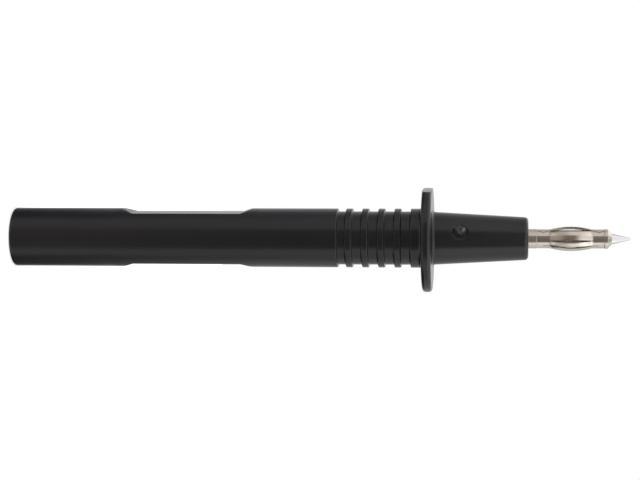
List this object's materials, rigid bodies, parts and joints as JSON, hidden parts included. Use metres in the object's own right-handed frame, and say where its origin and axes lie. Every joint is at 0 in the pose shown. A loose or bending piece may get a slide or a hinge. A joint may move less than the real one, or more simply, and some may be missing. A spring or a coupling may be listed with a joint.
{
  "type": "test probe tip",
  "caption": "Slim hand-held test probe with a finger guard, grip ribs, a sprung 4 mm lantern plug with a needle point in front and a 4 mm socket in its rear end.",
  "frame": {"origin": "centre of the rear face, on which the probe stands", "axes": "+Z along the probe's axis towards the needle point; the barrel's two flats face +X and -X, and the guard's flat faces -X"},
  "size_m": [0.0183, 0.0192, 0.1114],
  "materials": {
    "black_polyamide": "black moulded polyamide with a fine satin surface",
    "nickel_brass": "turned brass with bright nickel plating",
    "nickel_spring": "rolled copper alloy spring sheet with nickel plating",
    "stainless_needle": "ground stainless steel"
  },
  "bodies": {
    "probe": {"handle": "black_polyamide", "socket_sleeve": "nickel_brass", "contact_stem": "nickel_brass", "needle_tip": "stainless_needle"},
    "cage": {"lantern_cage": "nickel_spring"}
  },
  "joints": [
    {"name": "cage_spin", "type": "hinge", "parent": "probe", "child": "cage", "pos_m": [0, 0, 0.1008], "axis": [0, 0, 1], "continuous": true}
  ]
}
